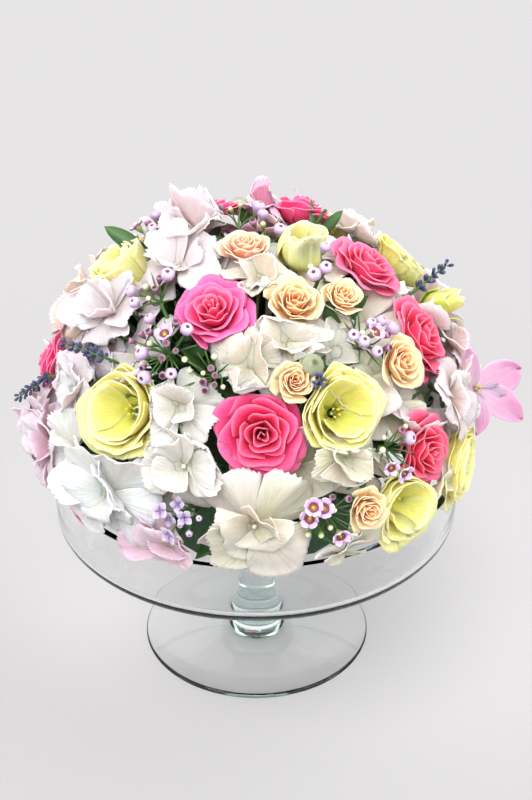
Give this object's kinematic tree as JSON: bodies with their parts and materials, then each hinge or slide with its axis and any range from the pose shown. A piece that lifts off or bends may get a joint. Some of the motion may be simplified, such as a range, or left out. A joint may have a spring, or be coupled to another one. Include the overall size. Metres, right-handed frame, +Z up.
{
  "type": "floral table centerpiece",
  "caption": "Footed clear glass bowl filled with a rounded dome of roses, lisianthus, hydrangea and waxflower standing in wet floral foam.",
  "frame": {"origin": "centre of the foot's flat underside, on the surface that the bowl stands on", "axes": "+Z up along the bowl's axis, -Y towards the viewer, +X to the viewer's right"},
  "size_m": [0.3037, 0.3004, 0.3251],
  "materials": {
    "glass": "clear polished glass with a green-blue edge",
    "foam": "wet open-cell floral foam",
    "rose_petals": "soft pink petals with lighter edges",
    "lisianthus_petals": "thin pale lemon petals",
    "spray_rose_petals": "soft peach petals",
    "hydrangea_florets": "thin white and blush sepals",
    "waxflower_sprays": "waxy lilac flowers with dark green needles",
    "lavender_spikes": "dull slate-blue buds",
    "star_petals": "thin orchid-pink petals",
    "lilac_florets": "small lilac flowers"
  },
  "bodies": {
    "root": {"glass_bowl": "glass", "floral_foam": "foam", "rose_1": "rose_petals", "rose_2": "rose_petals", "rose_3": "rose_petals", "rose_4": "rose_petals", "rose_5": "rose_petals", "rose_6": "rose_petals", "rose_7": "rose_petals", "rose_8": "rose_petals", "rose_9": "rose_petals", "rose_10": "rose_petals", "rose_11": "rose_petals", "rose_12": "rose_petals", "lisianthus_1": "lisianthus_petals", "lisianthus_2": "lisianthus_petals", "lisianthus_3": "lisianthus_petals", "lisianthus_4": "lisianthus_petals", "lisianthus_5": "lisianthus_petals", "lisianthus_6": "lisianthus_petals", "lisianthus_7": "lisianthus_petals", "lisianthus_8": "lisianthus_petals", "lisianthus_9": "lisianthus_petals", "lisianthus_10": "lisianthus_petals", "spray_rose_1": "spray_rose_petals", "spray_rose_2": "spray_rose_petals", "spray_rose_3": "spray_rose_petals", "spray_rose_4": "spray_rose_petals", "spray_rose_5": "spray_rose_petals", "spray_rose_6": "spray_rose_petals", "spray_rose_7": "spray_rose_petals", "hydrangea_1": "hydrangea_florets", "hydrangea_2": "hydrangea_florets", "hydrangea_3": "hydrangea_florets", "hydrangea_4": "hydrangea_florets", "hydrangea_5": "hydrangea_florets", "hydrangea_6": "hydrangea_florets", "hydrangea_7": "hydrangea_florets", "hydrangea_8": "hydrangea_florets", "hydrangea_9": "hydrangea_florets", "hydrangea_10": "hydrangea_florets", "hydrangea_11": "hydrangea_florets", "hydrangea_12": "hydrangea_florets", "hydrangea_13": "hydrangea_florets", "hydrangea_14": "hydrangea_florets", "hydrangea_15": "hydrangea_florets", "hydrangea_16": "hydrangea_florets", "waxflower_1": "waxflower_sprays", "waxflower_2": "waxflower_sprays", "waxflower_3": "waxflower_sprays", "waxflower_4": "waxflower_sprays", "waxflower_5": "waxflower_sprays", "waxflower_6": "waxflower_sprays", "waxflower_7": "waxflower_sprays", "waxflower_8": "waxflower_sprays", "lavender_1": "lavender_spikes", "lavender_2": "lavender_spikes", "lavender_3": "lavender_spikes", "star_flower": "star_petals", "lilac_sprig": "lilac_florets"}
  },
  "joints": []
}
